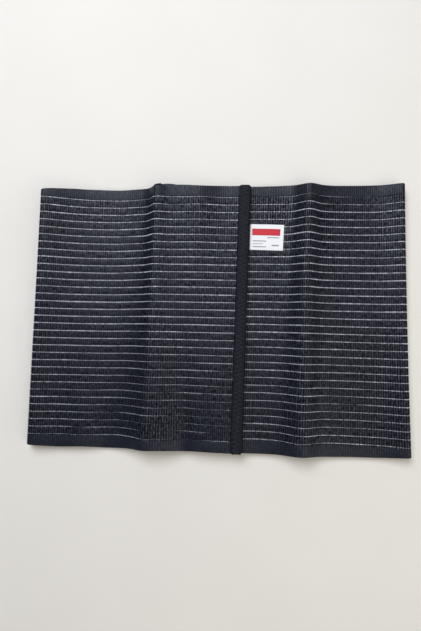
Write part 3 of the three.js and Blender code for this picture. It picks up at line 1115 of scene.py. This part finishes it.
LABEL_BARS = (
    LabelBar("wide", BarColour.RED, 2.2, 29.5, 14.6, 21.2),
    LabelBar("rule_upper", BarColour.GREY, 17.0, 28.5, 12.2, 13.0),
    LabelBar("rule_first", BarColour.GREY, 3.0, 16.0, 8.6, 9.5),
    LabelBar("rule_second", BarColour.GREY, 3.0, 13.0, 5.9, 6.5),
    LabelBar("rule_third", BarColour.GREY, 3.0, 16.0, 2.9, 3.8),
    LabelBar("rule_short", BarColour.GREY, 21.5, 28.5, 4.4, 5.6),
)


@dataclass
class WovenLabel:
    """The white woven label that is sewn on beside the outer end, with plain bars and no lettering."""

    path: WrapPath
    width: float = 33.0
    height: float = 25.5
    left: float = 33.3
    middle_height: float = 208.8
    drop: float = 0.8  # how much lower its right side sits
    near: float = 0.85
    thickness: float = 0.45
    bar_proud: float = 0.06
    bar_sunk: float = 0.1
    step: float = 0.75
    ripple: float = 0.1
    ripple_across: float = 7.0  # radians over its width
    ripple_up: float = 5.0  # radians over its height
    ripple_start: float = 0.6
    bed_stations: tuple[str, str] = ("ridge_inner_foot", "under_binding")  # it lies between these
    bed_past: tuple[float, float] = (0.3, 0.2)  # how far past them its bed is read
    bed_points: int = 400

    def surface(self, across: np.ndarray, up: np.ndarray, offset: float) -> np.ndarray:
        """Works out points of the label.

        The panel's place for each x is read off its curve at the label's middle height. The label drops
        evenly to the right and ripples by a product of two sines.

        Args:
            across: millimetres from the label's left side.
            up: millimetres from its lower side.
            offset: distance out of the loop from the web's middle.

        Returns:
            Points.
        """
        first, last = (self.path.number(name) for name in self.bed_stations)
        places = np.linspace(first - self.bed_past[0], last + self.bed_past[1], self.bed_points)
        middle = self.middle_height / self.path.height
        bed, _ = self.path.frames(np.full_like(places, middle), places)
        place = np.interp(self.left + across, bed[::-1, 0], places[::-1])
        heights = self.middle_height + up - self.height / 2 - self.drop * (across / self.width - 0.5)
        points, out = self.path.frames(heights / self.path.height, place)
        side_wave = np.sin(self.ripple_across * across / self.width)
        ripple = self.ripple * side_wave * np.sin(self.ripple_up * up / self.height + self.ripple_start)
        return points + (offset + ripple)[..., None] * out

    def slab(self, name: str, box: tuple[float, float, float, float], low: float, high: float,
             material: bpy.types.Material) -> bpy.types.Object:
        """Makes a thin slab that follows the label's surface.

        Args:
            name: the piece's name.
            box: left, right, bottom and top on the label.
            low: its lower offset.
            high: its upper offset.
            material: its finish.

        Returns:
            The piece.
        """
        left, right, bottom, top = box
        columns = max(2, round((right - left) / self.step) + 1)
        rows = max(2, round((top - bottom) / self.step) + 1)
        up, across = np.meshgrid(np.linspace(bottom, top, rows), np.linspace(left, right, columns),
                                 indexing="ij")
        sides = np.stack([self.surface(across, up, offset) for offset in (high, low)])
        faces, border = slab_faces(rows, columns)
        flat = np.stack([across, up], -1)
        uv = np.stack([flat, flat]).reshape(-1, 2)
        return make_piece(name, sides.reshape(-1, 3), faces, material, uv, border)

    def build(self) -> bpy.types.Object:
        """Makes the label and its bars.

        Returns:
            The label.
        """
        top = self.near + self.thickness
        whole = (0.0, self.width, 0.0, self.height)
        label = self.slab("label_satin", whole, self.near, top, LABEL_WHITE.material())
        seat(label, "woven_label", "label")
        yarns = {colour: colour.value.material() for colour in BarColour}
        for bar in LABEL_BARS:
            box = (bar.left, bar.right, bar.bottom, bar.top)
            piece = self.slab(f"label_bar_{bar.name}", box, top - self.bar_sunk, top + self.bar_proud,
                              yarns[bar.colour])
            seat(piece, "woven_label")
        return label


@dataclass(frozen=True)
class Lamp:
    """A soft square lamp that faces a point on the table."""

    name: str
    place: tuple[float, float, float]  # metres
    target: tuple[float, float, float]
    size: float
    power: float
    colour: str

    def build(self) -> bpy.types.Object:
        """Makes the area light.

        Returns:
            The light's object.
        """
        data = bpy.data.lights.new(self.name, "AREA")
        data.shape = "SQUARE"
        data.size = self.size
        data.energy = self.power
        data.color = linear(self.colour)[:3]
        lamp = bpy.data.objects.new(self.name, data)
        back = np.subtract(self.place, self.target)
        back = back / np.linalg.norm(back)
        right = np.cross([0.0, 1.0, 0.0], back)
        right /= np.linalg.norm(right)
        lamp.matrix_world = pose(right, np.cross(back, right), back, self.place)
        bpy.context.scene.collection.objects.link(lamp)
        return lamp


def pose(right: np.ndarray, up: np.ndarray, back: np.ndarray, place: tuple[float, float, float]) -> Matrix:
    """Makes a placing matrix from three directions that are square to each other.

    Args:
        right: where the object's own X points.
        up: where its Y points.
        back: where its Z points.
        place: its place in metres.

    Returns:
        The matrix.
    """
    matrix = np.eye(4)
    matrix[:3] = np.stack([right, up, back, place], -1)
    return Matrix(matrix.tolist())


@dataclass
class Studio:
    """The table, the soft light and the camera."""

    table_size: float = 6.0  # metres
    table_drop: float = 0.0003  # metres
    table_points: int = 9
    camera_place: tuple[float, float, float] = (0.03806, -0.01193, 0.42971)  # metres
    camera_near: float = 0.01  # metres
    camera_turn: tuple[float, float, float] = (2.05, 5.53, 1.46)  # degrees about X, Y and Z, Y first
    focal_pixels: float = 432.0
    frame_long_side: int = 631
    sensor: float = 36.0
    sky: str = "#dfe3ea"
    sky_strength: float = 0.24
    lamps: tuple[Lamp, ...] = (
        Lamp("key_softbox", (-0.30, 0.72, 1.15), (0.0, 0.0, 0.0), 0.8, 18.0, "#e9eefc"),
        Lamp("room_fill", (0.95, -0.60, 1.05), (0.0, 0.0, 0.0), 1.6, 11.6, "#fdf7ee"),
    )

    def table(self) -> bpy.types.Object:
        """Makes the table top, a flat grid just under the binder.

        Returns:
            The table.
        """
        half = self.table_size / 2 / MM
        side = np.linspace(-half, half, self.table_points)
        x, y = np.meshgrid(side, side, indexing="ij")
        points = np.stack([x, y, np.full_like(x, -self.table_drop / MM)], -1).reshape(-1, 3)
        mesh = bpy.data.meshes.new("table_top")
        mesh.from_pydata((points * MM).tolist(), [], quads(np.arange(x.size).reshape(x.shape)).tolist())
        mesh.materials.append(TableTop().material())
        table = bpy.data.objects.new("table_top", mesh)
        bpy.context.scene.collection.objects.link(table)
        return table

    def camera(self) -> bpy.types.Object:
        """Makes the camera, almost straight above the binder, with the photograph's field of view.

        Returns:
            The camera.
        """
        x, y, z = (float(np.radians(angle)) for angle in self.camera_turn)
        turn = Matrix.Rotation(z, 4, "Z") @ Matrix.Rotation(x, 4, "X") @ Matrix.Rotation(y, 4, "Y")
        data = bpy.data.cameras.new("camera")
        data.sensor_fit = "AUTO"
        data.sensor_width = self.sensor
        data.lens = self.focal_pixels * self.sensor / self.frame_long_side
        data.clip_start = self.camera_near
        camera = bpy.data.objects.new("camera", data)
        camera.matrix_world = Matrix.Translation(self.camera_place) @ turn
        bpy.context.scene.collection.objects.link(camera)
        bpy.context.scene.camera = camera
        return camera

    def build(self) -> None:
        """Makes the table, sky, lamps and camera, and shows colours without a film curve."""
        self.table()
        world = bpy.data.worlds.new("soft_room")
        world.use_nodes = True
        world.node_tree.nodes.clear()
        background = add_node(world.node_tree, "Background", None,
                              {"Color": linear(self.sky), "Strength": self.sky_strength})
        add_node(world.node_tree, "OutputWorld", None, {"Surface": background.outputs["Background"]})
        bpy.context.scene.world = world
        for lamp in self.lamps:
            lamp.build()
        self.camera()
        bpy.context.scene.view_settings.view_transform = "Standard"


def main() -> None:
    """Builds the binder and the studio in order, and reports each piece."""
    logging.basicConfig(level=logging.INFO, format="%(message)s")
    path = WrapPath()
    LOG.info("the web is %.1f mm long at its middle", path.length)
    Studio().build()
    ElasticWeb(path).build()
    for end in WebEnd:
        EndBinding(path, end).build()
    HookTape(path).build()
    WovenLabel(path).build()


if __name__ == "__main__":
    main()
